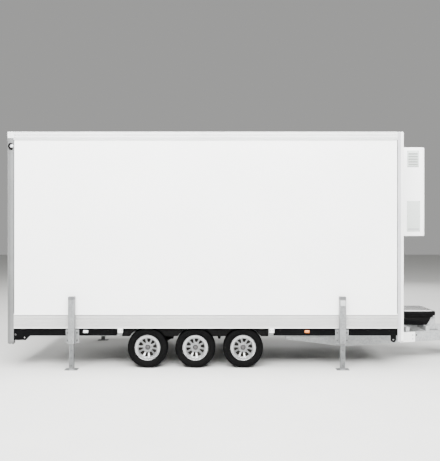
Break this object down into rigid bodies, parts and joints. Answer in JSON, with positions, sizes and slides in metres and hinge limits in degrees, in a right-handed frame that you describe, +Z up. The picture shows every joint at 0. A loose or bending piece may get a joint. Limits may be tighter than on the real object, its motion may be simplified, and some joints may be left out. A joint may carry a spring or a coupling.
{
  "type": "cargo trailer",
  "caption": "Refrigerated box trailer with insulated walls, barn doors, prop stands, a cooling unit, a V drawbar with overrun coupling and a jockey wheel.",
  "frame": {"origin": "on the ground under the middle of the trailer's whole length and width", "axes": "+X forward along the drawbar, +Y to the trailer's left, +Z up"},
  "size_m": [6.868, 2.4596, 3.152],
  "materials": {
    "panel": "gloss white composite panel",
    "trim": "satin anodised",
    "skirt": "satin ribbed extrusion",
    "post": "dull grey",
    "floor": "anti-slip deck",
    "galvanised": "hot-dip galvanised, spangled",
    "black": "satin black paint",
    "black_plastic": "moulded black",
    "dark_steel": "dark painted",
    "tyre": "matt black rubber",
    "rubber": "matt",
    "rim": "silver lacquered alloy",
    "chrome": "bright zinc"
  },
  "bodies": {
    "trailer": {"floor_panel": "floor", "roof_panel": "panel", "front_wall": "panel", "side_wall_right": "panel", "side_wall_left": "panel", "cooling_unit": "panel", "front_header": "trim", "roof_rail_right": "trim", "roof_rail_left": "trim", "front_post_right": "trim", "front_post_left": "trim", "skirt_right": "skirt", "skirt_left": "skirt", "rear_frame": "post", "light_bar": "galvanised", "main_rail_right": "galvanised", "main_rail_left": "galvanised", "drawbar_beam_right": "galvanised", "drawbar_beam_left": "galvanised", "drawbar_plate": "galvanised", "jockey_tube": "galvanised", "box_carrier": "galvanised", "stand_tube_rear_right": "galvanised", "stand_tube_rear_left": "galvanised", "stand_tube_front_right": "galvanised", "stand_tube_front_left": "galvanised", "side_rail_rear_right": "black", "side_rail_rear_left": "black", "side_rail_front_right": "black", "side_rail_front_left": "black", "handbrake_lever": "black", "mudguard_right": "black_plastic", "mudguard_left": "black_plastic", "storage_box": "black_plastic", "axle_rear": "dark_steel", "axle_middle": "dark_steel", "axle_front": "dark_steel", "overrun_coupling": "dark_steel"},
    "wheel_rear_right": {"tyre_rear_right": "tyre", "rim_rear_right": "rim"},
    "wheel_rear_left": {"tyre_rear_left": "tyre", "rim_rear_left": "rim"},
    "wheel_middle_right": {"tyre_middle_right": "tyre", "rim_middle_right": "rim"},
    "wheel_middle_left": {"tyre_middle_left": "tyre", "rim_middle_left": "rim"},
    "wheel_front_right": {"tyre_front_right": "tyre", "rim_front_right": "rim"},
    "wheel_front_left": {"tyre_front_left": "tyre", "rim_front_left": "rim"},
    "rear_door_right": {"rear_door_right": "panel"},
    "rear_door_left": {"rear_door_left": "panel"},
    "stand_leg_rear_right": {"stand_leg_rear_right": "galvanised"},
    "stand_leg_rear_left": {"stand_leg_rear_left": "galvanised"},
    "stand_leg_front_right": {"stand_leg_front_right": "galvanised"},
    "stand_leg_front_left": {"stand_leg_front_left": "galvanised"},
    "jockey_leg": {"jockey_leg": "chrome"},
    "jockey_fork": {"jockey_fork": "galvanised"},
    "jockey_wheel": {"jockey_wheel": "rubber"},
    "storage_lid": {"storage_lid": "black_plastic"}
  },
  "joints": [
    {"name": "wheel_rear_right_spin", "type": "hinge", "parent": "trailer", "child": "wheel_rear_right", "pos_m": [-1.58, -0.9975, 0.2695], "axis": [0, 1, 0], "continuous": true},
    {"name": "wheel_rear_left_spin", "type": "hinge", "parent": "trailer", "child": "wheel_rear_left", "pos_m": [-1.58, 0.9975, 0.2695], "axis": [0, 1, 0], "continuous": true},
    {"name": "wheel_middle_right_spin", "type": "hinge", "parent": "trailer", "child": "wheel_middle_right", "pos_m": [-0.94, -0.9975, 0.2695], "axis": [0, 1, 0], "continuous": true},
    {"name": "wheel_middle_left_spin", "type": "hinge", "parent": "trailer", "child": "wheel_middle_left", "pos_m": [-0.94, 0.9975, 0.2695], "axis": [0, 1, 0], "continuous": true},
    {"name": "wheel_front_right_spin", "type": "hinge", "parent": "trailer", "child": "wheel_front_right", "pos_m": [-0.3, -0.9975, 0.2695], "axis": [0, 1, 0], "continuous": true},
    {"name": "wheel_front_left_spin", "type": "hinge", "parent": "trailer", "child": "wheel_front_left", "pos_m": [-0.3, 0.9975, 0.2695], "axis": [0, 1, 0], "continuous": true},
    {"name": "rear_door_right_hinge", "type": "hinge", "parent": "trailer", "child": "rear_door_right", "pos_m": [-3.422, -1.045, 0.711], "axis": [0, 0, 1], "range_deg": [0, 180]},
    {"name": "rear_door_left_hinge", "type": "hinge", "parent": "trailer", "child": "rear_door_left", "pos_m": [-3.422, 1.045, 0.711], "axis": [0, 0, -1], "range_deg": [0, 180]},
    {"name": "stand_leg_rear_right_slide", "type": "slide", "parent": "trailer", "child": "stand_leg_rear_right", "axis": [0, 0, 1], "range_m": [0, 0.33]},
    {"name": "stand_leg_rear_left_slide", "type": "slide", "parent": "trailer", "child": "stand_leg_rear_left", "axis": [0, 0, 1], "range_m": [0, 0.33]},
    {"name": "stand_leg_front_right_slide", "type": "slide", "parent": "trailer", "child": "stand_leg_front_right", "axis": [0, 0, 1], "range_m": [0, 0.33]},
    {"name": "stand_leg_front_left_slide", "type": "slide", "parent": "trailer", "child": "stand_leg_front_left", "axis": [0, 0, 1], "range_m": [0, 0.33]},
    {"name": "jockey_slide", "type": "slide", "parent": "trailer", "child": "jockey_leg", "axis": [0, 0, 1], "range_m": [-0.08, 0.14]},
    {"name": "jockey_swivel", "type": "hinge", "parent": "jockey_leg", "child": "jockey_fork", "pos_m": [3.214, 0.115, 0.215], "axis": [0, 0, 1], "continuous": true},
    {"name": "jockey_wheel_spin", "type": "hinge", "parent": "jockey_fork", "child": "jockey_wheel", "pos_m": [3.169, 0.115, 0.1], "axis": [0, 1, 0], "continuous": true},
    {"name": "storage_lid_hinge", "type": "hinge", "parent": "trailer", "child": "storage_lid", "pos_m": [1.946, 0, 0.608], "axis": [0, -1, 0], "range_deg": [0, 85]}
  ]
}
